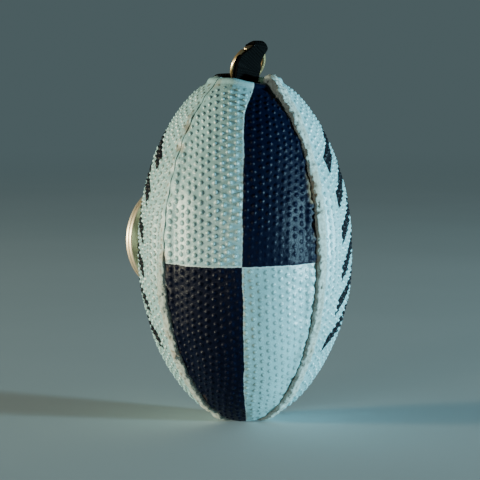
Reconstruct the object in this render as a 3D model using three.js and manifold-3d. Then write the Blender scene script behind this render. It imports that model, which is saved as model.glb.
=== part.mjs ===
// A miniature stuffed rugby ball worn as a key-ring charm, in millimetres with +Z up.
// Four sewn panels stand on the ball's lower point. A webbing loop comes out of the gathered mouth
// at the top and holds a jump ring, the ring carries a short strap, and the strap a split key ring.
// The origin is the middle of the flat foot. The seams lie over the X and Y axes, so each panel
// fills one quarter, and every pivot turns about a line along X.
import * as THREE from "three";
import { mergeVertices } from "three/addons/utils/BufferGeometryUtils.js";
import Module from "manifold-3d";

const wasm = await Module();
wasm.setup();

const degrees = Math.PI / 180;

// Ball: the outline of one panel's crown, seen from the side.
const ballRadius = 24.75;
const equatorHeight = 40;
const lowerReach = 41.1; // longer than the equator's height, which leaves a flat foot
const upperReach = 42.5;
const pointedness = 0.55; // 0.5 would be an ellipse
const shoulderHeight = 79; // the outline turns into the rolled lip here
const lipRadius = 1.25;
const lipCentre = new THREE.Vector2(7.55, 79.15);
const tipRadius = 2.2; // where the panels' points end under the foot
const bodyStations = 14;
const lipStations = 4;

// Sewn panels.
const skinThickness = 0.9;
const seamGap = 0.2; // from the seam's plane to the turned-in edge
const rollRadius = 1.0; // of the turned edge
const shoulderDrop = 0.5; // how far the crown dips before it turns in
const hemDepth = 2.5; // of the turned-in edge, below the crown
const fullSizeRadius = 8; // the seam's details shrink with the ball's radius below this
const crownSegments = 6;
const rollSegments = 2;
const halfAngle = 45 * degrees; // from a panel's middle to its seams
const innerRollDrop = 0.1; // share of the thickness that the inner face lies below the outer roll
const leastInnerRoll = 0.05;
const shoulderPower = 6; // how suddenly the crown dips at its edge
const liningThickness = 0.4;
const liningGap = 0.25;
const liningMargin = 1.67; // from the seam's plane to the lining's edge
const liningFirst = 3; // the station where the lining starts
const threadRadius = 0.22;
const threadDepth = 0.75;
const threadFirst = 2; // the station where the thread starts
const threadSides = 6;
const threadSteps = 26;
const footPatchRadius = 1.85; // the front panel's point crosses the pole
const footSides = 20;
const tongueOverlap = 1; // of the foot's tongue with the panel

// Mouth cover: a disc of lining cloth over the stuffing, with a slot for the webbing.
const coverRadius = 6.8;
const coverHeight = 76.6; // of its upper face at the middle
const coverThickness = 0.5;
const coverDrop = 0.8; // from its middle to its edge
const coverSides = 32;
const coverSlotDepth = 8; // of the block that cuts the slot

// Stuffing.
const stuffingRadius = 21.6;
const stuffingBottom = 3.2;
const stuffingTop = 72;
const stuffingRows = 12;
const stuffingSides = 24;

// Anchor loop: webbing folded over the jump ring's wire.
const hardwareX = 1.2; // the loop leans over to here, where it holds the jump ring
const anchorX = -1; // middle of the webbing where it comes out of the mouth
const splitRingX = -0.5; // the strap runs aslant to here
const ringPivot = new THREE.Vector2(-1.6, 87.3); // Y and Z of the wire inside the fold
const anchorPly = 0.7;
const anchorSlit = 0.1; // half the slit between the two plies
const anchorEyeRadius = 1.15;
const anchorFoot = 73.4;
const anchorWidth = 7;
const anchorFoldWidth = 3.8;
const anchorCutDepth = 12; // of the block that gives the webbing its width
const taperStart = 82.6;
const taperEnd = 85.4;
const whippingBottom = 78;
const whippingHeight = 1.3;
const whippingThickness = 0.45;
const sewnGap = 0.3; // between pieces that lie on each other

// Jump ring.
const ringRadius = 4.5; // of the wire's centre line
const ringWire = 0.6;
const ringLean = 25 * degrees; // from hanging straight down, outwards
const ringCut = 3 * degrees; // half the cut in the wire
const ringCutAngle = 35 * degrees; // from the fold, round the wire

// Strap.
const strapThickness = 0.9;
const strapWidth = 6;
const strapLift = 1.0; // from the ball's outline to the strap's middle
const strapHeights = [78.4, 75.5, 72, 68, 63.5, 58.5];
const strapStart = 0.2; // share of the way from the lip to the first height
const neckWidth = 3; // of the narrow webbing from the jump ring to the strap
const neckEyeRadius = 1.0;
const neckEyeWall = 0.4;
const lowerEyeRadius = 2.3;
const lowerEyeWall = 0.5;
const lowerEyeWidth = 5;
const lowerEyeMargin = 0.2; // round the eye, where the strap is cut narrower
const tackLength = 4.6;
const tackWidth = 1.1;
const tackThickness = 0.3;
const tackLift = 0.1;

// Split key ring: one flat strip wound nearly twice round.
const splitOuterRadius = 13;
const splitBand = 3;
const splitStrip = 1;
const splitStripGap = 0.1;
const splitPivot = new THREE.Vector2(27.1, 52.5); // Y and Z of the band's middle in the lower eye
const splitJog = 15 * degrees; // half the arc where the strip steps across
const splitEndGap = 3 * degrees;
const splitSteps = 72;

// ---- Helpers ----

// A box whose corners and edge points are moved by place(across, along, inward), each from 0 to 1.
function bentBox(acrossSegments, alongSegments, inwardSegments, place) {
  const box = new THREE.BoxGeometry(1, 1, 1, acrossSegments, alongSegments, inwardSegments);
  const positions = box.getAttribute("position");
  for (let i = 0; i < positions.count; i++) {
    const across = positions.getX(i) + 0.5;
    const along = positions.getY(i) + 0.5;
    const inward = 0.5 - positions.getZ(i);
    const point = place(across, along, inward);
    positions.setXYZ(i, point.x, point.y, point.z);
  }
  return box;
}

// A closed geometry as a manifold-3d solid.
function solid(geometry) {
  const bare = geometry.clone();
  bare.deleteAttribute("normal");
  bare.deleteAttribute("uv");
  const merged = mergeVertices(bare, 1e-4);
  return new wasm.Manifold(
    new wasm.Mesh({
      numProp: 3,
      vertProperties: merged.getAttribute("position").array,
      triVerts: new Uint32Array(merged.index.array),
    }),
  );
}

// A manifold-3d solid as a three.js geometry with flat faces.
function geometryOf(manifold) {
  const mesh = manifold.getMesh();
  const indexed = new THREE.BufferGeometry();
  indexed.setAttribute("position", new THREE.BufferAttribute(mesh.vertProperties, 3));
  indexed.setIndex(new THREE.BufferAttribute(mesh.triVerts, 1));
  const flat = indexed.toNonIndexed();
  flat.computeVertexNormals();
  return flat;
}

// An outline drawn in Y and Z, made solid from one X to another.
function extrudeAlongX(shape, fromX, toX, curveSegments = 10) {
  const geometry = new THREE.ExtrudeGeometry(shape, {
    depth: toX - fromX,
    bevelEnabled: false,
    curveSegments,
  });
  const turn = new THREE.Matrix4().makeBasis(
    new THREE.Vector3(0, 1, 0),
    new THREE.Vector3(0, 0, 1),
    new THREE.Vector3(1, 0, 0),
  );
  return geometry.applyMatrix4(turn).translate(fromX, 0, 0);
}

// A round bar along X, centred on an X and on a point given by its Y and Z.
function barAlongX(radius, width, centreX, centre, sides = 24) {
  return new THREE.CylinderGeometry(radius, radius, width, sides)
    .rotateZ(90 * degrees)
    .translate(centreX, centre.x, centre.y);
}

function tube(path, radius, sides, steps) {
  const section = new THREE.Shape();
  for (let i = 0; i < sides; i++) {
    const angle = (i / sides) * 2 * Math.PI;
    const place = [radius * Math.cos(angle), radius * Math.sin(angle)];
    if (i === 0) section.moveTo(...place);
    else section.lineTo(...place);
  }
  section.closePath();
  return new THREE.ExtrudeGeometry(section, { steps, extrudePath: path, bevelEnabled: false });
}

// ---- Ball outline ----

function crownRadius(height) {
  const reach = height < equatorHeight ? lowerReach : upperReach;
  const share = (height - equatorHeight) / reach;
  return ballRadius * (1 - share * share) ** pointedness;
}

// Points of the skin's outer face from the foot to the shoulder, as radius and height.
function bodyOutline() {
  const lowest = Math.asin(-equatorHeight / lowerReach);
  const highest = Math.asin((shoulderHeight - equatorHeight) / upperReach);
  const points = [];
  for (let i = 0; i < bodyStations; i++) {
    const angle = lowest + ((highest - lowest) * i) / (bodyStations - 1);
    const reach = angle < 0 ? lowerReach : upperReach;
    const height = equatorHeight + reach * Math.sin(angle);
    points.push(new THREE.Vector2(crownRadius(height), height));
  }
  return points;
}

function skinOutline() {
  const foot = new THREE.Vector2(tipRadius, 0);
  const lip = [];
  for (let i = 1; i <= lipStations; i++) {
    const angle = (Math.PI * i) / lipStations;
    const offset = new THREE.Vector2(Math.cos(angle), Math.sin(angle)).multiplyScalar(lipRadius);
    lip.push(lipCentre.clone().add(offset));
  }
  return [foot, ...bodyOutline(), ...lip];
}

// The outward direction at each point of an outline that runs upwards.
function outwards(points) {
  return points.map((point, i) => {
    const before = points[Math.max(i - 1, 0)];
    const after = points[Math.min(i + 1, points.length - 1)];
    const into = point.clone().sub(before).normalize();
    const onwards = after.clone().sub(point).normalize();
    const run = into.add(onwards).normalize();
    return new THREE.Vector2(run.y, -run.x);
  });
}

const outline = skinOutline();
const facing = outwards(outline);
facing[0].set(0, -1);
facing[1].set(0, -1);

// A point at some depth below an outline station, at an angle round the ball's axis.
function underOutline(station, depth, angle) {
  const point = outline[station].clone().addScaledVector(facing[station], -depth);
  return new THREE.Vector3(point.x * Math.cos(angle), point.x * Math.sin(angle), point.y);
}

// The angle that a distance from the seam's plane takes at a station and depth.
function seamAngle(station, depth, distance) {
  const radius = outline[station].x - facing[station].x * depth;
  return Math.asin(Math.min(distance / radius, Math.SQRT1_2));
}

// How far the crown dips at an angle from the panel's middle.
function crownDip(angle, shrink) {
  const share = Math.abs(angle) / halfAngle;
  return shoulderDrop * shrink * share ** shoulderPower;
}

// ---- Panels ----

// The skin's cross-section at a station: the hem, the turned edge, the crown and back again.
// Each point is an angle from the panel's middle and a depth, for the outer or the inner face.
function skinSection(station, inner) {
  const shrink = Math.min(1, outline[station].x / fullSizeRadius);
  const wall = inner ? skinThickness * shrink : 0;
  const roll = rollRadius * shrink;
  const half = [];
  const addAtSeam = (distance, depth) => {
    half.push([halfAngle - seamAngle(station, depth, distance), depth]);
  };
  const hemEnd = Math.max(hemDepth * shrink, skinThickness + roll / 2);
  const rollCentreDepth = (shoulderDrop + rollRadius) * shrink;
  const innerDrop = inner ? skinThickness : 0;
  addAtSeam(seamGap + wall, hemEnd);
  addAtSeam(seamGap + wall, rollCentreDepth + innerDrop * innerRollDrop);
  const slant = Math.SQRT1_2;
  const innerRoll = Math.max(roll - wall, leastInnerRoll);
  addAtSeam(
    seamGap + roll - innerRoll * slant,
    rollCentreDepth - (inner ? 0 : roll * slant) + (innerDrop * innerRollDrop) / 2,
  );
  const crownEdge = halfAngle - seamAngle(station, 0, seamGap + roll + wall * innerRollDrop);
  for (let i = 0; i <= crownSegments; i++) {
    const angle = crownEdge * (1 - (2 * i) / crownSegments);
    half.push([angle, crownDip(angle, shrink) + innerDrop]);
  }
  for (let i = rollSegments; i >= 0; i--) half.push([-half[i][0], half[i][1]]);
  return half;
}

function skinPanel(middleAngle) {
  const sections = outline.map((_, station) => [
    skinSection(station, false),
    skinSection(station, true),
  ]);
  const acrossSegments = crownSegments + 2 * (rollSegments + 1);
  const alongSegments = outline.length - 1;
  return bentBox(acrossSegments, alongSegments, 1, (across, along, inward) => {
    const station = Math.round(along * alongSegments);
    const column = Math.round((1 - across) * acrossSegments);
    const [angle, depth] = sections[station][Math.round(inward)][column];
    return underOutline(station, depth, middleAngle + angle);
  });
}

function footPatch(radius) {
  return new THREE.CylinderGeometry(radius, radius, skinThickness, footSides)
    .rotateX(90 * degrees)
    .translate(0, 0, skinThickness / 2);
}

// The front panel's point is the one that crosses the pole; a short tongue joins it to the panel.
function footTongue(middleAngle) {
  const length = tipRadius + tongueOverlap;
  return new THREE.BoxGeometry(length, tipRadius / 2, skinThickness)
    .translate(length / 2, 0, skinThickness / 2)
    .rotateZ(middleAngle);
}

function panelGeometry(middleAngle, crossesPole) {
  const panel = solid(skinPanel(middleAngle));
  if (!crossesPole) return geometryOf(panel);
  return geometryOf(panel.add(solid(footPatch(footPatchRadius))).add(solid(footTongue(middleAngle))));
}

// The lining follows the skin's crown inside it, clear of the hems.
function liningGeometry(middleAngle) {
  const alongSegments = bodyStations - liningFirst - 1;
  return bentBox(crownSegments, alongSegments, 1, (across, along, inward) => {
    const station = liningFirst + Math.round(along * alongSegments);
    const depth = skinThickness + liningGap + inward * liningThickness;
    const edge = halfAngle - seamAngle(station, depth, liningMargin);
    const angle = edge * (2 * across - 1);
    return underOutline(station, depth + crownDip(angle, 1), middleAngle + angle);
  });
}

function stuffingGeometry() {
  const points = [];
  for (let i = 0; i <= stuffingRows; i++) {
    const angle = (-90 + (180 * i) / stuffingRows) * degrees;
    const reach = angle < 0 ? equatorHeight - stuffingBottom : stuffingTop - equatorHeight;
    const atPole = i % stuffingRows === 0;
    const radius = atPole ? 0 : stuffingRadius * Math.cos(angle) ** (2 * pointedness);
    points.push(new THREE.Vector2(radius, equatorHeight + reach * Math.sin(angle)));
  }
  return new THREE.LatheGeometry(points, stuffingSides).rotateX(90 * degrees);
}

function coverGeometry() {
  const edge = coverHeight - coverDrop;
  const points = [
    new THREE.Vector2(0, coverHeight - coverThickness),
    new THREE.Vector2(coverRadius, edge - coverThickness),
    new THREE.Vector2(coverRadius, edge),
    new THREE.Vector2(0, coverHeight),
  ];
  const disc = new THREE.LatheGeometry(points, coverSides).rotateX(90 * degrees);
  const slotWidth = 2 * (anchorPly + anchorSlit + sewnGap);
  const slot = new THREE.BoxGeometry(anchorWidth + 2 * sewnGap, slotWidth, coverSlotDepth);
  return geometryOf(solid(disc).subtract(solid(slot.translate(anchorX, ringPivot.x, coverHeight))));
}

function threadGeometry(seamAngleRound) {
  const points = [];
  for (let station = threadFirst; station <= bodyStations; station++) {
    points.push(underOutline(station, threadDepth, seamAngleRound));
  }
  return tube(new THREE.CatmullRomCurve3(points), threadRadius, threadSides, threadSteps);
}

// ---- Anchor loop ----

function anchorLoopGeometry() {
  const outer = anchorEyeRadius + anchorPly;
  const ply = anchorSlit + anchorPly;
  const outerStart = Math.acos(ply / outer);
  const innerStart = Math.acos(anchorSlit / anchorEyeRadius);
  const { x: middle, y: eye } = ringPivot;
  const hairpin = new THREE.Shape();
  hairpin.moveTo(middle + ply, anchorFoot);
  hairpin.absarc(middle, eye, outer, -outerStart, Math.PI + outerStart, false);
  hairpin.lineTo(middle - ply, anchorFoot);
  hairpin.lineTo(middle - anchorSlit, anchorFoot);
  hairpin.absarc(middle, eye, anchorEyeRadius, Math.PI + innerStart, -innerStart, true);
  hairpin.lineTo(middle + anchorSlit, anchorFoot);
  hairpin.closePath();
  const band = extrudeAlongX(hairpin, -2 * anchorWidth, 2 * anchorWidth);

  const half = anchorWidth / 2;
  const foldHalf = anchorFoldWidth / 2;
  const above = ringPivot.y + 2 * outer;
  const front = new THREE.Shape([
    new THREE.Vector2(anchorX - half, anchorFoot - 1),
    new THREE.Vector2(anchorX + half, anchorFoot - 1),
    new THREE.Vector2(anchorX + half, taperStart),
    new THREE.Vector2(hardwareX + foldHalf, taperEnd),
    new THREE.Vector2(hardwareX + foldHalf, above),
    new THREE.Vector2(hardwareX - foldHalf, above),
    new THREE.Vector2(hardwareX - foldHalf, taperEnd),
    new THREE.Vector2(anchorX - half, taperStart),
  ]);
  const frontSolid = new THREE.ExtrudeGeometry(front, { depth: anchorCutDepth, bevelEnabled: false })
    .rotateX(90 * degrees)
    .translate(0, anchorCutDepth / 2 + ringPivot.x, 0);
  return geometryOf(solid(band).intersect(solid(frontSolid)));
}

// Thread wound round both plies below the jump ring, which keeps the eye closed.
function whippingGeometry() {
  const rectangle = (halfX, halfY, outline) => {
    outline.moveTo(anchorX - halfX, ringPivot.x - halfY);
    outline.lineTo(anchorX + halfX, ringPivot.x - halfY);
    outline.lineTo(anchorX + halfX, ringPivot.x + halfY);
    outline.lineTo(anchorX - halfX, ringPivot.x + halfY);
    outline.closePath();
    return outline;
  };
  const halfX = anchorWidth / 2 + sewnGap;
  const halfY = anchorSlit + anchorPly + sewnGap;
  const wall = whippingThickness;
  const sleeve = rectangle(halfX + wall, halfY + wall, new THREE.Shape());
  sleeve.holes.push(rectangle(halfX, halfY, new THREE.Path()));
  return new THREE.ExtrudeGeometry(sleeve, { depth: whippingHeight, bevelEnabled: false }).translate(
    0,
    0,
    whippingBottom,
  );
}

// ---- Jump ring ----

// The jump ring's wire, from one side of its cut to the other.
class CutRingCurve extends THREE.Curve {
  getPoint(t) {
    const start = ringCutAngle + ringCut;
    const angle = start + t * (2 * Math.PI - 2 * ringCut);
    const across = -ringRadius * Math.sin(angle);
    const down = ringRadius * (1 - Math.cos(angle));
    return new THREE.Vector3(
      hardwareX + across,
      ringPivot.x + down * Math.sin(ringLean),
      ringPivot.y - down * Math.cos(ringLean),
    );
  }
}

// ---- Strap ----

// The wire's centre at the bottom of the jump ring, which the strap's upper eye turns on.
const strapPivot = new THREE.Vector2(
  ringPivot.x + 2 * ringRadius * Math.sin(ringLean),
  ringPivot.y - 2 * ringRadius * Math.cos(ringLean),
);

// The middles of the neck and the strap, in Y and Z: the neck comes out of the mouth and over the
// lip, and the strap goes on down the shoulder.
function strapLines() {
  const overLip = [100, 45].map((angle) => {
    const out = new THREE.Vector2(Math.cos(angle * degrees), Math.sin(angle * degrees));
    return lipCentre.clone().addScaledVector(out, lipRadius + strapLift);
  });
  const downShoulder = strapHeights.map((height) => {
    const step = 0.5;
    const run = new THREE.Vector2(
      crownRadius(height + step) - crownRadius(height - step),
      2 * step,
    ).normalize();
    const out = new THREE.Vector2(run.y, -run.x);
    return new THREE.Vector2(crownRadius(height), height).addScaledVector(out, strapLift);
  });
  const start = overLip[1].clone().lerp(downShoulder[0], strapStart);
  return { neck: [strapPivot, ...overLip], strap: [start, ...downShoulder, splitPivot] };
}

function bandShape(line, thickness) {
  const out = outwards(line);
  const above = line.map((point, i) => point.clone().addScaledVector(out[i], -thickness / 2));
  const below = line.map((point, i) => point.clone().addScaledVector(out[i], thickness / 2));
  return new THREE.Shape([...above, ...below.reverse()]);
}

// The strap's middle in X: it runs aslant from the jump ring to the split ring.
function strapX(height) {
  const share = (strapPivot.y - height) / (strapPivot.y - splitPivot.y);
  return THREE.MathUtils.lerp(hardwareX, splitRingX, THREE.MathUtils.clamp(share, 0, 1));
}

// A flat band that follows a line, and runs aslant as the strap does.
function bandGeometry(line, width) {
  const band = extrudeAlongX(bandShape(line, strapThickness), -width / 2, width / 2);
  const positions = band.getAttribute("position");
  for (let i = 0; i < positions.count; i++) {
    positions.setX(i, positions.getX(i) + strapX(positions.getZ(i)));
  }
  return band;
}

// A band that ends in an eye round a pivot.
function eyedBand(band, radius, wall, width, centreX, pivot) {
  const through = strapWidth + 2;
  return geometryOf(
    band
      .add(solid(barAlongX(radius + wall, width, centreX, pivot)))
      .subtract(solid(barAlongX(radius, through, centreX, pivot))),
  );
}

function neckGeometry() {
  const band = solid(bandGeometry(strapLines().neck, neckWidth));
  return eyedBand(band, neckEyeRadius, neckEyeWall, neckWidth, hardwareX, strapPivot);
}

// A pair of blocks that leave only the lower eye's width of the strap round the split ring.
function lowerEyeSides() {
  const cut = strapWidth / 2;
  const reach = 2 * (lowerEyeRadius + lowerEyeWall + lowerEyeMargin);
  const blocks = [-1, 1].map((side) => {
    const middle = splitRingX + side * (lowerEyeWidth / 2 + cut / 2);
    return solid(new THREE.BoxGeometry(cut, reach, reach).translate(middle, splitPivot.x, splitPivot.y));
  });
  return blocks[0].add(blocks[1]);
}

function strapGeometry() {
  const band = solid(bandGeometry(strapLines().strap, strapWidth)).subtract(lowerEyeSides());
  return eyedBand(band, lowerEyeRadius, lowerEyeWall, lowerEyeWidth, splitRingX, splitPivot);
}

// A bar of close stitches across the strap, on its outer face, some way between two of its points.
function tackGeometry(line, segment, share) {
  const middle = line[segment].clone().lerp(line[segment + 1], share);
  const run = line[segment + 1].clone().sub(line[segment]).normalize();
  const out = new THREE.Vector2(-run.y, run.x);
  const lift = strapThickness / 2 + tackLift + tackThickness / 2;
  const place = middle.clone().addScaledVector(out, lift);
  return new THREE.BoxGeometry(tackLength, tackWidth, tackThickness)
    .rotateX(Math.atan2(run.y, run.x))
    .translate(strapX(middle.y), place.x, place.y);
}

// ---- Split ring ----

function splitRingGeometry() {
  const inner = splitOuterRadius - splitBand;
  const centreHeight = splitPivot.y - (splitOuterRadius + inner) / 2;
  const start = splitJog + splitEndGap;
  const sweep = 4 * Math.PI - 2 * start;
  const sideStep = (splitStrip + splitStripGap) / 2;
  const fullTurn = 2 * Math.PI;
  return bentBox(1, splitSteps, 1, (across, along, inward) => {
    const angle = start + along * sweep;
    const intoJog = (angle - (fullTurn - splitJog)) / (2 * splitJog);
    const eased = THREE.MathUtils.smoothstep(intoJog, 0, 1);
    const side = sideStep * (2 * eased - 1) + (inward - 0.5) * splitStrip;
    const radius = inner + across * splitBand;
    return new THREE.Vector3(
      splitRingX + radius * Math.sin(angle),
      splitPivot.x + side,
      centreHeight - radius * Math.cos(angle),
    );
  });
}

// ---- Materials ----

const surfaces = {
  whiteSkin: { color: 0xb4cdca, roughness: 0.42, metalness: 0 },
  navySkin: { color: 0x14183a, roughness: 0.34, metalness: 0 },
  lining: { color: 0xd8d4c8, roughness: 0.95, metalness: 0 },
  stuffing: { color: 0xf1f1ee, roughness: 1, metalness: 0 },
  thread: { color: 0xc9c4b4, roughness: 0.8, metalness: 0 },
  webbing: { color: 0x0b0b0c, roughness: 0.85, metalness: 0 },
  gold: { color: 0xd9a860, roughness: 0.22, metalness: 1 },
};

function piece(name, geometry, surface) {
  const mesh = new THREE.Mesh(geometry, new THREE.MeshStandardMaterial(surfaces[surface]));
  mesh.name = name;
  return mesh;
}

// ---- Assembly ----

const quarters = [
  { name: "front", middleAngle: 225 * degrees, surface: "navySkin" },
  { name: "right", middleAngle: 315 * degrees, surface: "whiteSkin" },
  { name: "back", middleAngle: 45 * degrees, surface: "navySkin" },
  { name: "left", middleAngle: 135 * degrees, surface: "whiteSkin" },
];

const seams = [
  { name: "front_right", angle: 270 * degrees },
  { name: "back_right", angle: 0 },
  { name: "back_left", angle: 90 * degrees },
  { name: "front_left", angle: 180 * degrees },
];

function ballGroup() {
  const group = new THREE.Group();
  for (const { name, middleAngle, surface } of quarters) {
    const skin = panelGeometry(middleAngle, name === "front");
    group.add(piece(`${name}_panel`, skin, surface));
    group.add(piece(`${name}_lining`, liningGeometry(middleAngle), "lining"));
  }
  for (const { name, angle } of seams) {
    group.add(piece(`${name}_seam_thread`, threadGeometry(angle), "thread"));
  }
  group.add(piece("stuffing", stuffingGeometry(), "stuffing"));
  group.add(piece("mouth_cover", coverGeometry(), "lining"));
  group.add(piece("anchor_loop", anchorLoopGeometry(), "webbing"));
  group.add(piece("anchor_whipping", whippingGeometry(), "webbing"));
  return group;
}

function strapGroup() {
  const group = new THREE.Group();
  const line = strapLines().strap;
  group.add(piece("strap_neck", neckGeometry(), "webbing"));
  group.add(piece("strap", strapGeometry(), "webbing"));
  group.add(piece("strap_upper_tack", tackGeometry(line, 1, 0.5), "webbing"));
  group.add(piece("strap_lower_tack", tackGeometry(line, line.length - 3, 0.5), "webbing"));
  return group;
}

const group = new THREE.Group();
group.name = "rugby_ball_charm";
group.add(ballGroup());
group.add(piece("jump_ring", tube(new CutRingCurve(), ringWire, 8, 40), "gold"));
group.add(strapGroup());
group.add(piece("split_ring", splitRingGeometry(), "gold"));

export default group;
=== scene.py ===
import math

import bmesh
import bpy
import numpy as np
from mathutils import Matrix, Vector


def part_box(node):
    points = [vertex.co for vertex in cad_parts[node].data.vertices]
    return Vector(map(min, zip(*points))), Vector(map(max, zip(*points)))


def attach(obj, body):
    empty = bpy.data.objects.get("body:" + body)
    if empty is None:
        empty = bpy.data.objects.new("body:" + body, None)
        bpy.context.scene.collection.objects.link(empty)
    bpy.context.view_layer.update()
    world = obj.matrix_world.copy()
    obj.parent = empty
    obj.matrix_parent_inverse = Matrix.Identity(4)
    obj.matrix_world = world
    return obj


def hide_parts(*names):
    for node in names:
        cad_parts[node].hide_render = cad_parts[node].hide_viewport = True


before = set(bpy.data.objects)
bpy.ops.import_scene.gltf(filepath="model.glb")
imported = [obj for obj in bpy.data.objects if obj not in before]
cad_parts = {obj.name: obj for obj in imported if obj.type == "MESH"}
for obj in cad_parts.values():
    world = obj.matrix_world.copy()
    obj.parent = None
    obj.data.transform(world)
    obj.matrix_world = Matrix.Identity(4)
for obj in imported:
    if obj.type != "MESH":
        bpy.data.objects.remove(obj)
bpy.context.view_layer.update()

MM = 0.001

# ---- camera

CAMERA_AZIMUTH = math.radians(-42)
CAMERA_ELEVATION = math.radians(6.5)
CAMERA_DISTANCE = 0.40
CAMERA_TARGET = Vector((0, 0, 0.040))

back = Vector((
    math.sin(CAMERA_AZIMUTH) * math.cos(CAMERA_ELEVATION),
    -math.cos(CAMERA_AZIMUTH) * math.cos(CAMERA_ELEVATION),
    math.sin(CAMERA_ELEVATION),
))
camera_data = bpy.data.cameras.new("Camera")
camera_data.angle = math.radians(16.05)
camera_data.clip_start = 0.01
camera_data.shift_x = -5 / 480
camera_data.shift_y = 10 / 480
camera = bpy.data.objects.new("Camera", camera_data)
camera.location = CAMERA_TARGET + CAMERA_DISTANCE * back
camera.rotation_euler = back.to_track_quat("Z", "Y").to_euler()
bpy.context.scene.collection.objects.link(camera)
bpy.context.scene.camera = camera

# ---- the ball's dimensions, in mm

BALL_RADIUS = 24.75
EQUATOR = 40.0
LOWER_REACH = 41.1  # longer than the equator's height, which leaves a flat foot
UPPER_REACH = 42.5
POINTEDNESS = 0.55  # 0.5 would be an ellipse
SHOULDER = 79.0  # the outline turns into the rolled lip here
LIP_RADIUS = 1.25
LIP_CENTRE = np.array([7.55, 79.15])
WALL_RADIUS = 6.2  # of the skin's end, inside the mouth
WALL_FOOT = 77.3
TIP_RADIUS = 1.6  # where the panels' points end under the foot
SMOOTHING = 0.45  # reach of the outline's rounding
SEAM_GAP = 0.07  # from the seam's plane to the turned-in edge
ROLL_RADIUS = 0.6  # of the turned edge
SHOULDER_DROP = 0.42  # of the turned edge below the crown
HEM_DEPTH = 2.5  # of the turned-in edge, below the crown
HEM_TOP = 1.5
FULL_SIZE_RADIUS = 8.0  # the seam's details shrink with the ball's radius below this
STITCH_PITCH = 5.6
DOT_PITCH = 1.84  # along a column
DOT_COLUMN = 1.68  # from column to column
DOT_WARP = 0.9  # how far the columns wander
DOT_RADIUS = 0.60
DOT_HEIGHT = 0.36
FULLER_BELOW = "left"  # the panel whose right rim thins out above
QUARTERS_ACROSS = 0.7  # where the quarters meet, from the panel's middle
QUARTERS_HEIGHT = -1.0  # and from the equator
QUARTERS_BEND = 2.0  # sideways, of the upper line's top
BEND_HEIGHTS = (33.0, 47.0)  # between which it bends
EDGE = math.pi / 4  # from a panel's middle to its seams

COLUMNS_HEM = 3
COLUMNS_ROLL = 9
COLUMNS_CROWN = 184
ROWS = 468


def full_turn(count):
    return np.arange(count) * 2 * math.pi / count


def hashed(*values):
    total = sum(v * k for v, k in zip(values, (127.1, 311.7, 74.7, 41.3)))
    x = np.sin(total) * 43758.5453
    return x - np.floor(x)


def eased(t):
    return t * t * (3 - 2 * t)


def value_noise(x, y, seed):
    """Smooth noise from -1 to 1 on a unit lattice."""
    ix, iy = np.floor(x), np.floor(y)
    fx, fy = eased(x - ix), eased(y - iy)
    a = hashed(ix, iy, seed)
    b = hashed(ix + 1, iy, seed)
    c = hashed(ix, iy + 1, seed)
    d = hashed(ix + 1, iy + 1, seed)
    low = a + (b - a) * fx
    high = c + (d - c) * fx
    return 2 * (low + (high - low) * fy) - 1


def smoothstep(low, high, x):
    return eased(np.clip((x - low) / (high - low), 0, 1))


def crown_radius(height):
    reach = np.where(height < EQUATOR, LOWER_REACH, UPPER_REACH)
    share = (height - EQUATOR) / reach
    return BALL_RADIUS * (1 - share * share) ** POINTEDNESS


def unit(vectors):
    return vectors / np.linalg.norm(vectors, axis=-1, keepdims=True)


def turned(radius, angle, *height):
    """Points at a radius and angle round an axis, at a height if there is one."""
    return np.stack([radius * np.cos(angle), radius * np.sin(angle), *height], -1)


def running_length(line):
    """The distance along a line, at each of its points."""
    return np.concatenate([[0], np.cumsum(np.linalg.norm(np.diff(line, axis=0), axis=1))])


def ball_outline(count, tip_radius=TIP_RADIUS):
    """Radius and height along the skin's outer face, evenly spaced, with the outward direction
    and the distance along the outline from the equator."""
    foot_radius = float(crown_radius(np.array(0.0)))
    foot = np.stack([np.linspace(tip_radius, foot_radius, 12)[:-1], np.zeros(11)], 1)
    lowest = math.asin(-EQUATOR / LOWER_REACH)
    highest = math.asin((SHOULDER - EQUATOR) / UPPER_REACH)
    angle = np.linspace(lowest, highest, 900)
    height = EQUATOR + np.where(angle < 0, LOWER_REACH, UPPER_REACH) * np.sin(angle)
    body = np.stack([crown_radius(height), height], 1)
    turn = np.linspace(math.radians(4), math.pi, 40)
    lip = LIP_CENTRE + turned(LIP_RADIUS, turn)
    wall = np.array([[WALL_RADIUS, WALL_FOOT]])
    line = np.concatenate([foot, body, lip, wall])
    along = running_length(line)
    even = np.linspace(0, along[-1], count * 4)
    fine = np.stack([np.interp(even, along, line[:, i]) for i in (0, 1)], 1)
    step = even[1] - even[0]
    reach = int(SMOOTHING / step)
    kernel = np.hanning(2 * reach + 3)
    kernel /= kernel.sum()
    padded = np.pad(fine, ((reach + 1, reach + 1), (0, 0)), mode="reflect", reflect_type="odd")
    fine = np.stack([np.convolve(padded[:, i], kernel, mode="valid") for i in (0, 1)], 1)
    run = unit(np.gradient(fine, axis=0))
    out = np.stack([run[:, 1], -run[:, 0]], 1)
    along = running_length(fine)
    rising = slice(int(len(fine) * 0.9))
    at_equator = np.interp(EQUATOR, fine[rising, 1], along[rising])
    pick = np.linspace(0, len(fine) - 1, count).astype(int)
    return fine[pick], out[pick], along[pick] - at_equator


def outline_between(rows, last, heights, tip_radius=TIP_RADIUS):
    """The outline's points from its first to its last row that lie between two heights."""
    line, out, along = (values[:last] for values in ball_outline(rows, tip_radius))
    lowest, highest = heights
    keep = (line[:, 1] > lowest) & (line[:, 1] < highest)
    return line[keep], out[keep], along[keep]


# ---- mesh helpers


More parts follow.
